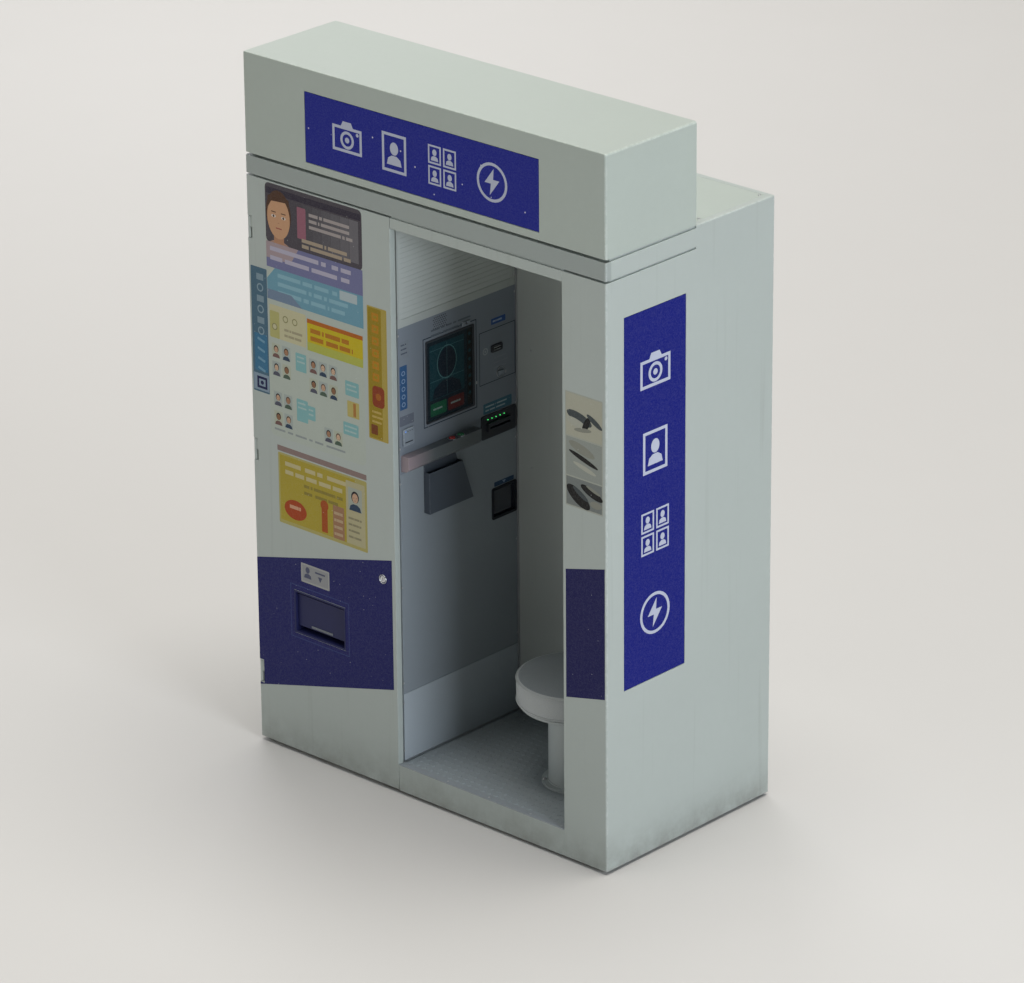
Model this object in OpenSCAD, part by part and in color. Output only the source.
// Free-standing identity-photo booth with a machine compartment, a cabin and a screw-lift stool.
// Millimetres. Origin on the floor at the centre of the plan: X right, front at -Y, Z up.

/* [Booth] */
// Overall width
booth_w = 1280; // [1270:10:1340]
// Overall depth
booth_d = 660; // [650:10:700]
// Overall height
booth_h = 2000; // [1980:10:2060]
// Height of the body's roof, under the header box
body_h = 1720; // [1718:1:1724]
// Depth of the header box, from the front face
header_d = 347; // [320:1:400]
// Thickness of the moulded outer panels
panel_t = 20; // [18:1:20]
// Height of the panels' lower edge above the ground
lift_h = 10; // [8:1:14]

/* [Doorway] */
// Width of the service door, at the left of the doorway
door_w = 528; // [520:1:540]
// Width of the pillar at the right of the doorway
pillar_w = 150; // [140:1:160]
// Height of the cabin floor
floor_h = 85; // [84:1:88]
// Height of the doorway's top
doorway_top = 1627; // [1600:1:1630]
// Depth of the cabin, from the front face
cabin_d = 483; // [470:1:490]

/* [Signs] */
// Width of the header sign
header_sign_w = 826; // [700:1:900]
// Height of the header sign
header_sign_h = 194; // [160:1:200]
// Width of a side sign
side_sign_w = 238; // [200:1:250]
// Height of a side sign
side_sign_h = 1035; // [900:1:1040]
// Thickness of the sign sheets
sign_t = 4; // [3:0.5:5]

/* [Console] */
// Width of the screen opening, along the depth of the booth
screen_w = 177; // [160:1:185]
// Height of the screen opening
screen_h = 223; // [200:1:230]
// Thickness of the console panel
console_t = 12; // [10:1:12]
// How far the button shelf stands out
shelf_out = 28; // [26:1:36]
// Travel of a push button
button_travel = 3; // [2:0.5:3.5]

/* [Photo outlet] */
// Width of the photo outlet
outlet_w = 189; // [170:1:200]
// Height of the photo outlet
outlet_h = 122; // [110:1:126]
// Depth of the photo outlet
outlet_d = 104; // [100:1:106]

/* [Stool] */
// Diameter of the seat
seat_dia = 330; // [320:1:336]
// Height of the seat's top at its lowest setting
seat_top = 403; // [400:1:410]
// Thickness of the upholstered pad
pad_t = 80; // [74:1:82]
// Outer diameter of the stool's lower column
column_dia = 152; // [148:1:160]
// Travel of the screw lift
lift_travel = 120; // [100:10:120]

/* [Hidden] */
$fn = 64;

// Colours of the finishes
shell_grey = "#cdd3d2";
sign_blue = "#1d1e9a";
steel_grey = "#8f9499";
dark_plastic = "#23262b";
glass_teal = "#1f3a44";

// Planes of the box: left, right, front, back
left_x = -booth_w / 2;
right_x = booth_w / 2;
front_y = -booth_d / 2;
back_y = booth_d / 2;
inner_front_y = front_y + panel_t;
inner_left_x = left_x + panel_t;
inner_right_x = right_x - panel_t;
inner_back_y = back_y - panel_t;

// Front pieces: the film that carries the posters stands proud of the panels by this much
film_t = 0.5;
panel_front_y = front_y + film_t;
// Clearance behind the service door, for its rear corner to swing past
door_gap = 4;
seam = 1.5;
groove_h = 6;
groove_depth = 6;
front_top = 1656;
band_top = 1712;

// Doorway
doorway_left_x = left_x + door_w;
doorway_right_x = right_x - pillar_w;
cabin_back_y = front_y + cabin_d;
ceiling_h = 1650;
wall_t = 12;

// Base frame of square steel tube
rail_size = 50;
rail_wall = 3;
rail_low = 20;
rail_top = rail_low + rail_size;
rail_inset = 22;
rail_x = right_x - rail_inset;
rail_y = back_y - rail_inset;
foot_x = [-560, 0, 560];
foot_y = rail_y - rail_size / 2;
foot_stem_r = 6;
foot_pad_r = 30;
post_size = 30;
post_wall = 2.5;
post_top = 1698;
cabin_right_x = inner_right_x - post_size - 12;

// Console wall, whose face is flush with the doorway's left edge
console_x = doorway_left_x;
console_back_x = console_x - console_t;
screen_y = front_y + 133;
screen_low = 1045;
shelf_y0 = front_y + 28;
shelf_y1 = front_y + 312;
shelf_low = 934;
shelf_top = 980;
button_r = 9;
start_y = -86;
cancel_y = -120;
button_x = console_x + 15;
coin_slot_box = [54, 92, 1173, 1188];
coin_button_box = [78, 100, 1100, 1111];
bill_box = [13, 142, 933, 993];
cup_box = [54, 143, 689, 772];
cup_depth = 75;
cup_wall = 3;
coin_flap_z = cup_box[3] - 9;
coin_flap_x = console_x - 7;
return_leg = [console_x - 72, console_x - 56, 82, 116];
pivot_r = 2.5;
running_gap = 0.05;

// Photo outlet in the service door
outlet_x0 = left_x + 145;
outlet_low = 369;
outlet_wall = 3;
outlet_pivot_z = outlet_low + outlet_h - 12;
outlet_pivot_y = front_y + 10;

// Service door and its corner hinges
door_low = lift_h + 2;
hinge_x = left_x + 6;
hinge_y = front_y + 6;
knuckle_r = 5.5;
pin_r = 3;
hinge_heights = [180, 840, 1480];
knuckle_h = 28;
hinge_h = 60;
notch_x = left_x + 18;
lock_x = -160;
lock_z = 620;
lock_r = 9;

// Machine compartment
paper_x = -410;
paper_z = 775;
paper_r = 70;
paper_w = 156;
spindle_r = 13;
fan_x = -380;
fan_z = 1500;
fan_r = 70;
fan_pin_r = 4;
breaker_z = 1320;
breaker_throw = 56;

// Mains inlet in the back panel
inlet_x = [-580, -531];
inlet_z = [112, 138];

// Stool
stool_x = 310;
stool_y = -80;
pan_t = 12;
seat_low = seat_top - pad_t - pan_t;
hub_low = seat_low - 6;
sleeve_top = hub_low - 1;
sleeve_r = column_dia / 2 - 10;
sleeve_wall = 6;
spindle_pin_r = 12.5;
column_top = 282;
nut_low = 222;
nut_top = 250;

// ---- helpers ----

// A box between two corners
module block(lo, hi) {
    translate(lo) cube(hi - lo);
}

// A box between two corners with rounded vertical edges
module soft_block(lo, hi, r) {
    translate([lo[0], lo[1], lo[2]]) linear_extrude(hi[2] - lo[2]) rounded([hi[0] - lo[0], hi[1] - lo[1]], r);
}

// A rectangle from the origin with true-arc corners
module rounded(size, r) {
    translate([r, 0]) square([size[0] - 2 * r, size[1]]);
    translate([0, r]) square([size[0], size[1] - 2 * r]);
    for (x = [r, size[0] - r], y = [r, size[1] - r]) translate([x, y]) circle(r);
}

// A square tube between two corners, open at both ends along one axis (0 = X, 1 = Y, 2 = Z)
module tube(lo, hi, wall, along) {
    grow = [for (i = [0:2]) i == along ? 1 : -wall];
    difference() {
        block(lo, hi);
        block(lo - grow, hi + grow);
    }
}

// A plate on the console wall: outline [y0, y1, z0, z1], from x0 to x1, with rounded corners
module wall_plate(outline, x0, x1, r) {
    translate([x0, 0, 0]) rotate([90, 0, 90]) linear_extrude(x1 - x0)
        translate([outline[0], outline[2]]) rounded([outline[1] - outline[0], outline[3] - outline[2]], r);
}

// The same outline, wider by d all round
function grown(outline, d) = [outline[0] - d, outline[1] + d, outline[2] - d, outline[3] + d];

// A round rod between two heights
module rod_z(x, y, z0, z1, r) {
    translate([x, y, z0]) cylinder(h = z1 - z0, r = r);
}

// ---- frame ----

module base_long_rails() {
    color(steel_grey) difference() {
        for (side = [-1, 1]) {
            y0 = side < 0 ? -rail_y : rail_y - rail_size;
            tube([-rail_x, y0, rail_low], [rail_x, y0 + rail_size, rail_top], rail_wall, 0);
        }
        for (x = foot_x, y = [-foot_y, foot_y]) rod_z(x, y, rail_low - 1, rail_top + 1, foot_stem_r + 0.1);
    }
}

module base_cross_rails() {
    color(steel_grey) for (x = [-rail_x, console_x - 44, 250, rail_x - rail_size])
        tube([x, rail_size - rail_y, rail_low], [x + rail_size, rail_y - rail_size, rail_top], rail_wall, 1);
}

module levelling_feet() {
    nut_r = 11;
    color(steel_grey) for (x = foot_x, y = [-foot_y, foot_y]) {
        rod_z(x, y, 0, 7, foot_pad_r);
        rod_z(x, y, 7, 12, foot_pad_r - 8);
        rod_z(x, y, 12, rail_top - 2, foot_stem_r);
        translate([x, y, 12]) cylinder(h = rail_low - 12, r = nut_r, $fn = 6);
    }
}

// Lower corners of the six posts: four at the booth's corners and two that carry the console wall
post_back_y = inner_back_y - post_size;
post_fore_y = inner_front_y + door_gap + 2;
post_places = [
    [inner_left_x, post_fore_y], [inner_right_x - post_size, inner_front_y],
    [inner_left_x, post_back_y], [inner_right_x - post_size, post_back_y],
    [console_back_x - post_size, post_fore_y + 34], [console_back_x - post_size, post_back_y]
];

module frame_posts() {
    color(steel_grey) for (p = post_places)
        tube([p[0], p[1], rail_top], [p[0] + post_size, p[1] + post_size, post_top], post_wall, 2);
}

module floor_board() {
    color("#9a8f7d") difference() {
        block([-rail_x, -rail_y, rail_top], [rail_x, rail_y, floor_h - 3]);
        // Notches round the posts, open to the front where a post stands at the front edge
        for (p = post_places) {
            fore_gap = p[1] < 10 - rail_y ? 10 : 1;
            block([p[0] - 1, p[1] - fore_gap, rail_top - 1], [p[0] + post_size + 1, p[1] + post_size + 1, floor_h]);
        }
    }
}

module floor_mat() {
    color("#7d8386") block([console_x, inner_front_y, floor_h - 3], [cabin_right_x, cabin_back_y, floor_h]);
}

// ---- outer shell ----

module front_skirt() {
    color(shell_grey) block([doorway_left_x, panel_front_y, lift_h], [doorway_right_x, inner_front_y, floor_h]);
}

module front_pillar() {
    flange = 46;
    color(shell_grey) {
        block([doorway_right_x, panel_front_y, lift_h], [right_x, inner_front_y, front_top]);
        block([doorway_right_x, inner_front_y, floor_h], [doorway_right_x + 14, inner_front_y + flange, ceiling_h]);
    }
}

// Head of the doorway and the plain strip between the two shadow grooves, in one moulding
module front_lintel() {
    strip_low = front_top + groove_h;
    color(shell_grey) difference() {
        union() {
            block([left_x, front_y, strip_low], [right_x, inner_front_y, band_top]);
            block([doorway_left_x, panel_front_y, doorway_top], [doorway_right_x, inner_front_y, strip_low]);
        }
        block([left_x - 1, front_y - 1, front_top], [right_x + 1, front_y + groove_depth, strip_low]);
    }
}

// Slab with the two shadow grooves and a shallow seat for the sign, drawn for the right side
module side_slab(fore_y) {
    sign_y = front_y + 70;
    sign_low = 510;
    header_back_y = front_y + header_d;
    difference() {
        block([inner_right_x, fore_y, lift_h], [right_x, back_y, body_h]);
        for (z = [front_top, band_top])
            block([right_x - groove_depth, fore_y - 1, z],
                  [right_x + 1, header_back_y, z == band_top ? body_h + 1 : z + groove_h]);
        block([right_x - sign_t, sign_y - seam, sign_low - seam],
              [right_x + 1, sign_y + side_sign_w + seam, sign_low + side_sign_h + seam]);
    }
}

module side_panel_right() {
    color(shell_grey) side_slab(inner_front_y);
}

module side_panel_left() {
    color(shell_grey) mirror([1, 0, 0]) side_slab(inner_front_y + door_gap);
}

module side_signs() {
    sign_y = front_y + 70;
    sign_low = 510;
    color(sign_blue) for (side = [0, 1]) mirror([side, 0, 0])
        block([right_x - sign_t, sign_y, sign_low], [right_x, sign_y + side_sign_w, sign_low + side_sign_h]);
}

module back_panel() {
    louvre_w = 360;
    color(shell_grey) difference() {
        block([inner_left_x, inner_back_y, lift_h], [inner_right_x, back_y, body_h]);
        // Punched fan grille: bars are left between the slots
        for (z = [-60:15:60]) {
            half = sqrt(fan_r * fan_r - z * z) - 2;
            block([fan_x - half, inner_back_y - 1, fan_z + z - 4], [fan_x + half, back_y + 1, fan_z + z + 4]);
        }
        // Intake louvres low down
        for (z = [180:22:312])
            block([fan_x - louvre_w / 2, inner_back_y - 1, z], [fan_x + louvre_w / 2, back_y + 1, z + 9]);
        block([inlet_x[0], inner_back_y - 1, inlet_z[0]], [inlet_x[1], back_y + 1, inlet_z[1]]);
    }
}

module roof_panel() {
    color(shell_grey) block([inner_left_x, inner_front_y, post_top + 2], [inner_right_x, inner_back_y, body_h]);
}

module header_shell() {
    skin = 14;
    header_back_y = front_y + header_d;
    sign_x = header_sign_w / 2;
    sign_low = 1742;
    color(shell_grey) difference() {
        block([left_x, front_y, body_h], [right_x, header_back_y, booth_h]);
        block([left_x + skin, front_y + skin, body_h - 1], [right_x - skin, header_back_y - skin, booth_h - skin]);
        // Rebate for the sign and the light window behind it
        block([-sign_x - seam, front_y - 1, sign_low - seam],
              [sign_x + seam, front_y + sign_t, sign_low + header_sign_h + seam]);
        block([-sign_x + 12, front_y - 1, sign_low + 12],
              [sign_x - 12, front_y + skin + 1, sign_low + header_sign_h - 12]);
    }
}

module header_sign() {
    sign_low = 1742;
    color(sign_blue) block([-header_sign_w / 2, front_y, sign_low],
                           [header_sign_w / 2, front_y + sign_t, sign_low + header_sign_h]);
}

// ---- cabin lining ----

module rear_partition() {
    color(shell_grey) block([console_back_x - post_size - 6, cabin_back_y, floor_h - 3],
                            [cabin_right_x, cabin_back_y + wall_t, ceiling_h]);
}

module backdrop_panel() {
    color("#d7dcdd") block([cabin_right_x, inner_front_y + 1, floor_h - 3],
                           [cabin_right_x + 10, cabin_back_y + wall_t, ceiling_h]);
}

ceiling_window = [60, 460, -190, 60];

module ceiling_panel() {
    color(shell_grey) difference() {
        block([console_back_x, inner_front_y + 1, ceiling_h], [cabin_right_x + 10, cabin_back_y + wall_t, ceiling_h + 10]);
        block([ceiling_window[0], ceiling_window[2], ceiling_h - 1],
              [ceiling_window[1], ceiling_window[3], ceiling_h + 11]);
    }
}

flash_window = [-300, 136, 1362, 1606];

module light_diffusers() {
    color("#f2f4f4") {
        block([ceiling_window[0], ceiling_window[2], ceiling_h], [ceiling_window[1], ceiling_window[3], ceiling_h + 5]);
        wall_plate(flash_window, console_back_x, console_back_x + 11, 6);
    }
}

// Two tubes behind the header sign, three behind the console's diffuser and one over the ceiling,
// each group held between a pair of end plates
module lamp_tubes() {
    tube_r = 13;
    plate = 12;
    header_y = front_y + 110;
    over_y = -65;
    console_lamp_y = [-230, 100];
    color("#fbfbf4") {
        for (z = [1800, 1878]) translate([-380, header_y, z]) rotate([0, 90, 0]) cylinder(h = 760, r = tube_r);
        for (x = [-380 - plate, 380]) block([x, header_y - 15, body_h], [x + plate, header_y + 15, 1895]);
        for (z = [1410, 1484, 1558]) translate([console_back_x - 30, console_lamp_y[1], z]) rotate([90, 0, 0])
            cylinder(h = console_lamp_y[1] - console_lamp_y[0], r = tube_r);
        for (y = [console_lamp_y[0] - 8, console_lamp_y[1]])
            block([console_back_x - 45, y, 1390], [console_back_x, y + 8, 1640]);
        translate([80, over_y, ceiling_h + 26]) rotate([0, 90, 0]) cylinder(h = 360, r = tube_r);
        for (x = [52, 440]) block([x, over_y - 10, ceiling_h + 10], [x + 28, over_y + 10, ceiling_h + 40]);
    }
}

// ---- console ----

function screen_outline() = [screen_y, screen_y + screen_w, screen_low, screen_low + screen_h];

module console_panel() {
    gap = 0.2;
    color("#aab0b4") difference() {
        block([console_back_x, inner_front_y + door_gap, floor_h - 3], [console_x, cabin_back_y, ceiling_h]);
        wall_plate(grown(screen_outline(), 6), console_back_x - 1, console_x + 1, 4);
        wall_plate(flash_window, console_back_x - 1, console_x + 1, 6);
        wall_plate(bill_box, console_back_x - 1, console_x + 1, 4);
        wall_plate(cup_box, console_back_x - 1, console_x + 1, 4);
        wall_plate(coin_slot_box, console_back_x - 1, console_x + 1, 3);
        wall_plate(grown(coin_button_box, gap), console_back_x - 1, console_x + 1, 1);
        // Joint line above the kick panel
        block([console_x - 1.5, front_y, 287], [console_x + 1, cabin_back_y + 1, 290]);
    }
}

module screen_bezel() {
    color(dark_plastic) difference() {
        wall_plate(grown(screen_outline(), 6), console_back_x, console_x + 2, 4);
        wall_plate(screen_outline(), console_back_x - 1, console_x + 3, 2);
    }
}

module screen_glass() {
    color(glass_teal) wall_plate(screen_outline(), console_x - 5, console_x - 1, 2);
}

module monitor() {
    color(dark_plastic) {
        wall_plate([screen_y + 2, screen_y + screen_w - 2, screen_low + 2, screen_low + 112],
                   console_back_x - 12, console_x - 6, 3);
        wall_plate([screen_y + 40, screen_y + 130, screen_low + 20, screen_low + 90],
                   console_back_x - 34, console_back_x - 12, 3);
    }
}

module camera() {
    mid_y = screen_y + screen_w / 2;
    mid_z = screen_low + 168;
    body_x = console_back_x - 104;
    color("#33363b") {
        soft_block([body_x, mid_y - 32, mid_z - 30], [body_x + 70, mid_y + 32, mid_z + 30], 5);
        translate([body_x + 70, mid_y, mid_z]) rotate([0, 90, 0]) cylinder(h = 20, r = 27);
        translate([body_x + 90, mid_y, mid_z]) rotate([0, 90, 0]) cylinder(h = 14, r = 23);
        // Mounting plate up to the console panel's back
        block([body_x, mid_y - 45, mid_z - 34], [console_back_x, mid_y + 45, mid_z - 30]);
        for (y = [mid_y - 45, mid_y + 42]) block([console_back_x - 3, y, mid_z - 34], [console_back_x, y + 3, mid_z + 30]);
    }
}

// Ledge under the screen, with wells for the two buttons
module console_shelf() {
    color("#dcd8dc") difference() {
        translate([console_x, shelf_y1, shelf_low]) rotate([90, 0, 0]) linear_extrude(shelf_y1 - shelf_y0)
            polygon([[0, 0], [shelf_out - 8, 4], [shelf_out, 12], [shelf_out, shelf_top - shelf_low], [0, shelf_top - shelf_low]]);
        for (y = [start_y, cancel_y]) {
            rod_z(button_x, y, shelf_top - 22, shelf_top + 1, button_r + running_gap);
        }
    }
}

// Mushroom-free flat push button that stands 4 mm out of its well
module push_button(y) {
    rod_z(button_x, y, shelf_top - 22 + button_travel + 1, shelf_top + 3, button_r);
    rod_z(button_x, y, shelf_top + 3, shelf_top + 4, button_r - 1);
}

module start_button() {
    color("#2f8f5b") push_button(start_y);
}

module cancel_button() {
    color("#c2413d") push_button(cancel_y);
}

module card_reader() {
    color("#8c949a") wall_plate([front_y + 34, front_y + 75, 1005, 1053], console_x, console_x + 6, 4);
}

// Leaflet holder with a slanting right-hand side: its front wall stops short of the ledge above
module leaflet_pocket() {
    low = 790;
    high = shelf_low;
    rim = high - 26;
    out = 22;
    skin = 2.5;
    y0 = front_y + 114;
    y1 = front_y + 285;
    slant = 50;
    color("#6d7278") difference() {
        translate([console_x, 0, 0]) rotate([90, 0, 90]) linear_extrude(out)
            polygon([[y0, low], [y1, low], [y1 - slant, high], [y0, high]]);
        translate([console_x + skin, 0, 0]) rotate([90, 0, 90]) linear_extrude(out - 2 * skin)
            polygon([[y0 + skin, low + skin], [y1 - 4, low + skin], [y1 - 4 - slant, high + 1], [y0 + skin, high + 1]]);
        block([console_x + skin, y0 - 1, rim], [console_x + out + 1, y1 + 1, high + 1]);
    }
}

module coin_slot_bezel() {
    mid_y = (coin_slot_box[0] + coin_slot_box[1]) / 2;
    mid_z = (coin_slot_box[2] + coin_slot_box[3]) / 2;
    color(dark_plastic) difference() {
        union() {
            wall_plate(coin_slot_box, console_back_x, console_x, 3);
            wall_plate(grown(coin_slot_box, 3), console_x, console_x + 4, 5);
        }
        wall_plate([mid_y - 15, mid_y + 15, mid_z - 1.6, mid_z + 1.6], console_back_x - 1, console_x + 5, 1.5);
    }
}

module coin_return_button() {
    color("#3c4147") wall_plate(coin_button_box, console_back_x - 8, console_x + 5, 1);
}

// Coin validator and the drop tube that leads down to the cash box
module coin_mech() {
    chute = [console_x - 99, 60, console_x - 79, 95];
    color("#5b6066") {
        block([console_x - 99, 34, 1112], [console_back_x, 116, 1210]);
        block([console_x - 99, 34, 1090], [console_x - 40, 116, 1112]);
        tube([chute[0], chute[1], 270], [chute[2], chute[3], 1090], 1.5, 2);
        // Coin return leg from the validator to the cup
        tube([return_leg[0], return_leg[2], cup_box[3]], [return_leg[1], return_leg[3], 1090], 1.5, 2);
    }
}

// Return cup: a tray let into the wall, open to the cabin, with bores for the flap's pins
module coin_cup() {
    color("#15181d") difference() {
        union() {
            wall_plate(cup_box, console_x - cup_depth, console_x, 4);
            difference() {
                wall_plate(grown(cup_box, 5), console_x, console_x + 2, 7);
                wall_plate(grown(cup_box, -cup_wall), console_x - 1, console_x + 3, 3);
            }
        }
        wall_plate(grown(cup_box, -cup_wall), console_x - cup_depth + cup_wall, console_x + 1, 3);
        block([return_leg[0] + 2, return_leg[2] + 2, cup_box[3] - 5], [return_leg[1] - 2, return_leg[3] - 2, cup_box[3] + 1]);
        translate([coin_flap_x, cup_box[0] - 1, coin_flap_z]) rotate([-90, 0, 0])
            cylinder(h = cup_box[1] - cup_box[0] + 2, r = pivot_r + running_gap);
    }
}

module coin_flap() {
    gap = cup_wall + 0.6;
    low = cup_box[2] + cup_wall + 2;
    color("#2b3038") {
        translate([coin_flap_x, cup_box[0] + 0.5, coin_flap_z]) rotate([-90, 0, 0])
            cylinder(h = cup_box[1] - cup_box[0] - 1, r = pivot_r);
        block([coin_flap_x - 1.5, cup_box[0] + gap, low], [coin_flap_x + 1.5, cup_box[1] - gap, coin_flap_z]);
    }
}

// Note acceptor: a moulded nose with a wide slot, and its case behind the wall
module bill_reader() {
    slot = [bill_box[0] + 22, bill_box[1] - 27, 958, 964];
    color(dark_plastic) difference() {
        union() {
            wall_plate(bill_box, console_back_x - 40, console_x, 4);
            wall_plate(grown(bill_box, 4), console_x, console_x + 3, 6);
            wall_plate([slot[0] - 8, slot[1] + 8, 948, 974], console_x + 3, console_x + 12, 5);
        }
        wall_plate(slot, console_x - 30, console_x + 13, 1);
    }
}

// ---- money and machine compartment ----

box_lo = [-326, 20, 92];
box_hi = [-176, 220, 242];

module cash_box() {
    skin = 2.5;
    handle_x = (box_lo[0] + box_hi[0]) / 2 - 27;
    color("#6f7780") {
        difference() {
            block(box_lo, box_hi);
            block(box_lo + [skin, skin, skin], box_hi + [-skin, -skin, 1]);
        }
        // Pull handle on the front
        for (x = [handle_x, handle_x + 48]) block([x, box_lo[1] - 14, 160], [x + 6, box_lo[1], 172]);
        block([handle_x, box_lo[1] - 20, 160], [handle_x + 54, box_lo[1] - 14, 172]);
    }
}

module cash_box_rails() {
    rail_clear = 0.6;
    color(steel_grey) {
        block([box_lo[0] - 9, -205, floor_h - 3], [box_hi[0] + 9, box_hi[1] + 8, box_lo[2] - rail_clear]);
        for (x = [box_lo[0] - 9, box_hi[0] + rail_clear])
            block([x, -205, box_lo[2] - rail_clear], [x + 9 - rail_clear, box_hi[1] + 8, box_lo[2] + 18]);
    }
}

// Dye printer on its stand, the sloping photo chute, and the cheeks and spindle of the paper roll
module printer() {
    cheek_x = paper_w / 2 + 6;
    color("#4a4f56") {
        soft_block([-580, -150, 500], [-240, 170, 690], 8);
        for (x = [-575, -349]) block([x, -140, floor_h - 3], [x + 10, 160, 500]);
        for (side = [-1, 1]) {
            block([paper_x + side * cheek_x - 4, -40, 690], [paper_x + side * cheek_x + 4, 40, paper_z + 30]);
        }
        translate([paper_x - cheek_x, 0, paper_z]) rotate([0, 90, 0]) cylinder(h = 2 * cheek_x, r = spindle_r - running_gap);
        // Chute from the printer's mouth down to the outlet
        translate([-460, 0, 0]) rotate([90, 0, 90]) linear_extrude(120)
            polygon([[-150, 540], [-216, 458], [-218, 460], [-150, 546]]);
    }
}

module paper_roll() {
    flange_r = paper_r + 6;
    color("#f4f1ea") translate([paper_x - paper_w / 2, 0, paper_z]) rotate([0, 90, 0]) difference() {
        union() {
            translate([0, 0, 4]) cylinder(h = paper_w - 8, r = paper_r);
            for (z = [0, paper_w - 4]) translate([0, 0, z]) cylinder(h = 4, r = flange_r);
        }
        translate([0, 0, -1]) cylinder(h = paper_w + 2, r = spindle_r);
    }
}

module equipment_shelf() {
    top = 890;
    shelf_back_y = post_back_y - 2;
    color(steel_grey) {
        block([inner_left_x, -100, top - 8], [console_back_x - post_size - 80, shelf_back_y, top]);
        for (x = [inner_left_x, -300]) block([x, -100, top - 40], [x + 4, shelf_back_y, top - 8]);
    }
}

module computer_unit() {
    color("#3a3f45") difference() {
        soft_block([-600, -20, 890], [-380, 270, 1180], 6);
        for (z = [930:20:1130]) block([-570, -21, z], [-410, -14, z + 8]);
    }
}

module breaker_box() {
    color("#e3e3df") difference() {
        block([inner_left_x, -220, breaker_z - 70], [inner_left_x + 60, -120, breaker_z + 70]);
        block([inner_left_x + 18, -221, breaker_z - 22], [inner_left_x + 42, -200, breaker_z + 22]);
        translate([inner_left_x + 12, -209, breaker_z]) rotate([0, 90, 0]) cylinder(h = 36, r = 3 + running_gap);
    }
}

module breaker_toggle() {
    mid_x = inner_left_x + 30;
    color("#1f2226") translate([0, -209, breaker_z]) rotate([-breaker_throw / 2, 0, 0]) {
        translate([mid_x - 17, 0, 0]) rotate([0, 90, 0]) cylinder(h = 34, r = 3);
        translate([mid_x - 10, 0, 0]) rotate([0, 90, 0]) cylinder(h = 20, r = 8);
        block([mid_x - 5, -26, -4], [mid_x + 5, -6, 4]);
    }
}

// ---- service door ----

module service_door() {
    notch = 2;
    color(shell_grey) difference() {
        block([left_x, panel_front_y, door_low], [doorway_left_x - seam, inner_front_y, front_top]);
        block([outlet_x0, front_y - 1, outlet_low], [outlet_x0 + outlet_w, inner_front_y + 1, outlet_low + outlet_h]);
        for (z = hinge_heights) block([left_x - 1, front_y - 1, z - notch], [notch_x, inner_front_y + 1, z + hinge_h + notch]);
        translate([lock_x, front_y - 1, lock_z]) rotate([-90, 0, 0]) cylinder(h = panel_t + 2, r = lock_r + running_gap);
    }
}

// Fixed hinge halves with their pins, and the keeper behind the lock
module door_fittings() {
    leaf = 3;
    fore = inner_front_y + door_gap;
    color(steel_grey) {
        for (z = hinge_heights) {
            rod_z(hinge_x, hinge_y, z, z + knuckle_h, knuckle_r);
            rod_z(hinge_x, hinge_y, z + knuckle_h, z + hinge_h - 2, pin_r);
            block([hinge_x - leaf, hinge_y, z], [hinge_x + leaf, fore, z + knuckle_h]);
        }
        block([lock_x + 10, fore + 2, lock_z - 30], [console_back_x, fore + 6, lock_z + 30]);
    }
}

// Moving hinge halves, let into the door's edge
module door_hinges() {
    color(steel_grey) for (z = hinge_heights) difference() {
        union() {
            rod_z(hinge_x, hinge_y, z + knuckle_h + 1, z + hinge_h, knuckle_r);
            block([hinge_x, hinge_y - 3, z + knuckle_h + 1], [notch_x, hinge_y + 3, z + hinge_h]);
        }
        rod_z(hinge_x, hinge_y, z, z + hinge_h + 1, pin_r + running_gap);
    }
}

// Cam lock: cylinder, key slot and the cam on its tail
module door_lock() {
    color("#b9bcbf") {
        difference() {
            translate([lock_x, front_y, lock_z]) rotate([-90, 0, 0]) cylinder(h = 34, r = lock_r);
            block([lock_x - 1, front_y - 1, lock_z - 5], [lock_x + 1, front_y + 4, lock_z + 5]);
        }
        block([lock_x - 5, front_y + 34, lock_z - 30], [lock_x + 5, front_y + 38, lock_z + 6]);
    }
}

module outlet_cup() {
    x1 = outlet_x0 + outlet_w;
    top = outlet_low + outlet_h;
    color("#3a3c70") difference() {
        block([outlet_x0, front_y, outlet_low], [x1, front_y + outlet_d, top]);
        block([outlet_x0 + outlet_wall, front_y - 1, outlet_low + outlet_wall],
              [x1 - outlet_wall, front_y + outlet_d - outlet_wall, top - outlet_wall]);
        // Slot where the photo drops in, and bores for the flap's pins
        block([-464, front_y + outlet_d - outlet_wall - 1, outlet_low + 70], [-336, front_y + outlet_d + 1, top - 14]);
        translate([outlet_x0 - 1, outlet_pivot_y, outlet_pivot_z]) rotate([0, 90, 0])
            cylinder(h = outlet_w + 2, r = pivot_r + running_gap);
    }
}

module outlet_flap() {
    gap = outlet_wall + 0.8;
    color("#4c4f8f") {
        translate([outlet_x0 + 0.5, outlet_pivot_y, outlet_pivot_z]) rotate([0, 90, 0])
            cylinder(h = outlet_w - 1, r = pivot_r);
        block([outlet_x0 + gap, outlet_pivot_y - 1.5, outlet_low + outlet_wall + 16],
              [outlet_x0 + outlet_w - gap, outlet_pivot_y + 1.5, outlet_pivot_z]);
    }
}

// ---- services ----

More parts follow.
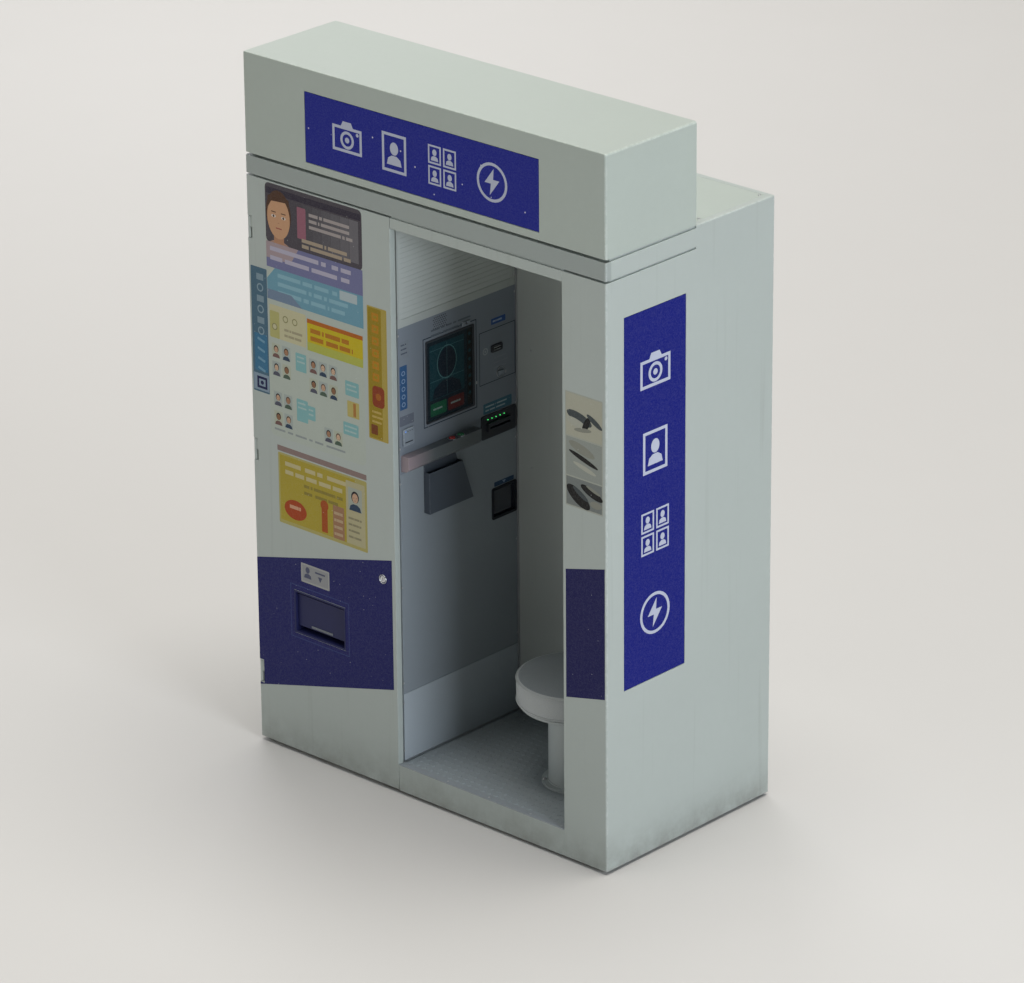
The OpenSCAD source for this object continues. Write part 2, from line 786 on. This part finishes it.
module fan_frame() {
    half = 80;
    color(dark_plastic) {
        difference() {
            block([fan_x - half, inner_back_y - 26, fan_z - half], [fan_x + half, inner_back_y, fan_z + half]);
            translate([fan_x, inner_back_y + 1, fan_z]) rotate([90, 0, 0]) cylinder(h = 28, r = fan_r + 4);
        }
        // Motor arms and the pin that the rotor turns on
        for (a = [45, 135]) translate([fan_x, 0, fan_z]) rotate([0, a, 0])
            block([-fan_r - 5, inner_back_y - 26, -4], [fan_r + 5, inner_back_y - 22, 4]);
        translate([fan_x, inner_back_y - 2, fan_z]) rotate([90, 0, 0]) cylinder(h = 22, r = fan_pin_r);
    }
}

module fan_rotor() {
    blades = 7;
    color("#15171a") translate([fan_x, 0, fan_z]) difference() {
        union() {
            translate([0, inner_back_y - 4, 0]) rotate([90, 0, 0]) cylinder(h = 15, r = 26);
            for (i = [0:blades - 1]) rotate([0, i * 360 / blades, 0]) translate([45, inner_back_y - 11.5, 0])
                rotate([32, 0, 0]) cube([44, 2, 15], center = true);
        }
        translate([0, inner_back_y, 0]) rotate([90, 0, 0]) cylinder(h = 30, r = fan_pin_r + running_gap);
    }
}

// Recessed mains inlet, low on the back
module mains_inlet() {
    mid_x = (inlet_x[0] + inlet_x[1]) / 2;
    color(dark_plastic) difference() {
        block([inlet_x[0], back_y - 45, inlet_z[0]], [inlet_x[1], back_y, inlet_z[1]]);
        block([inlet_x[0] + 6, back_y - 20, inlet_z[0] + 4], [inlet_x[1] - 6, back_y + 1, inlet_z[1] - 4]);
        for (x = [-7.5, 0, 7.5])
            block([mid_x + x - 1, back_y - 34, inlet_z[0] + 9], [mid_x + x + 1, back_y - 19, inlet_z[0] + 16]);
    }
}

// ---- stool ----

module stool_base() {
    outer_r = column_dia / 2;
    flange_r = outer_r + 18;
    wall = 6;
    color("#c9ced0") translate([stool_x, stool_y, 0]) difference() {
        union() {
            rod_z(0, 0, floor_h, floor_h + 7, flange_r);
            difference() {
                rod_z(0, 0, floor_h + 7, column_top, outer_r);
                rod_z(0, 0, floor_h + 6, column_top + 1, outer_r - wall);
            }
            // Inner pedestal that carries the lifting nut
            rod_z(0, 0, floor_h + 6, nut_top, 30);
        }
        rod_z(0, 0, floor_h + 12, nut_low, 20);
        rod_z(0, 0, nut_low - 1, nut_top + 1, spindle_pin_r + running_gap);
        for (a = [45:90:315]) rotate(a) rod_z(outer_r + 9, 0, floor_h - 1, floor_h + 8, 4.5);
    }
}

// Plastic guide ring at the column's mouth
module stool_bushing() {
    outer_r = column_dia / 2;
    color(dark_plastic) translate([stool_x, stool_y, 0]) difference() {
        union() {
            rod_z(0, 0, column_top, column_top + 5, outer_r);
            rod_z(0, 0, column_top - 40, column_top, outer_r - 6);
        }
        rod_z(0, 0, column_top - 41, column_top + 6, sleeve_r + running_gap);
    }
}

// Telescoping tube: rises and falls, held against turning by its key
module stool_sleeve() {
    color("#b4babd") translate([stool_x, stool_y, 0]) difference() {
        rod_z(0, 0, 100, sleeve_top, sleeve_r);
        rod_z(0, 0, 99, sleeve_top - 10, sleeve_r - sleeve_wall);
        rod_z(0, 0, sleeve_top - 11, sleeve_top + 1, spindle_pin_r + running_gap);
    }
}

module stool_spindle() {
    color(steel_grey) translate([stool_x, stool_y, 0]) {
        rod_z(0, 0, floor_h + 18, hub_low, spindle_pin_r);
        rod_z(0, 0, hub_low, seat_low, 40);
    }
}

module seat_pan() {
    color("#c3c8ca") translate([stool_x, stool_y, 0]) {
        rod_z(0, 0, seat_low, seat_low + 4, seat_dia / 2 - 22);
        rod_z(0, 0, seat_low + 4, seat_low + pan_t, seat_dia / 2 - 12);
    }
}

module seat_cushion() {
    edge = 14;
    r = seat_dia / 2;
    color("#cfd5d5") translate([stool_x, stool_y, seat_low + pan_t]) rotate_extrude() {
        square([r - edge, pad_t]);
        translate([0, edge]) square([r, pad_t - 2 * edge]);
        for (z = [edge, pad_t - edge]) translate([r - edge, z]) circle(edge);
    }
}

// ---- one line per node ----
base_long_rails();
base_cross_rails();
levelling_feet();
frame_posts();
floor_board();
floor_mat();
front_skirt();
front_pillar();
front_lintel();
side_panel_left();
side_panel_right();
back_panel();
roof_panel();
header_shell();
header_sign();
side_signs();
rear_partition();
backdrop_panel();
ceiling_panel();
light_diffusers();
lamp_tubes();
console_panel();
screen_bezel();
screen_glass();
monitor();
camera();
console_shelf();
start_button();
cancel_button();
card_reader();
leaflet_pocket();
coin_slot_bezel();
coin_return_button();
coin_mech();
coin_cup();
coin_flap();
bill_reader();
cash_box();
cash_box_rails();
printer();
paper_roll();
equipment_shelf();
computer_unit();
breaker_box();
breaker_toggle();
service_door();
door_fittings();
door_hinges();
door_lock();
outlet_cup();
outlet_flap();
fan_frame();
fan_rotor();
mains_inlet();
stool_base();
stool_bushing();
stool_sleeve();
stool_spindle();
seat_pan();
seat_cushion();
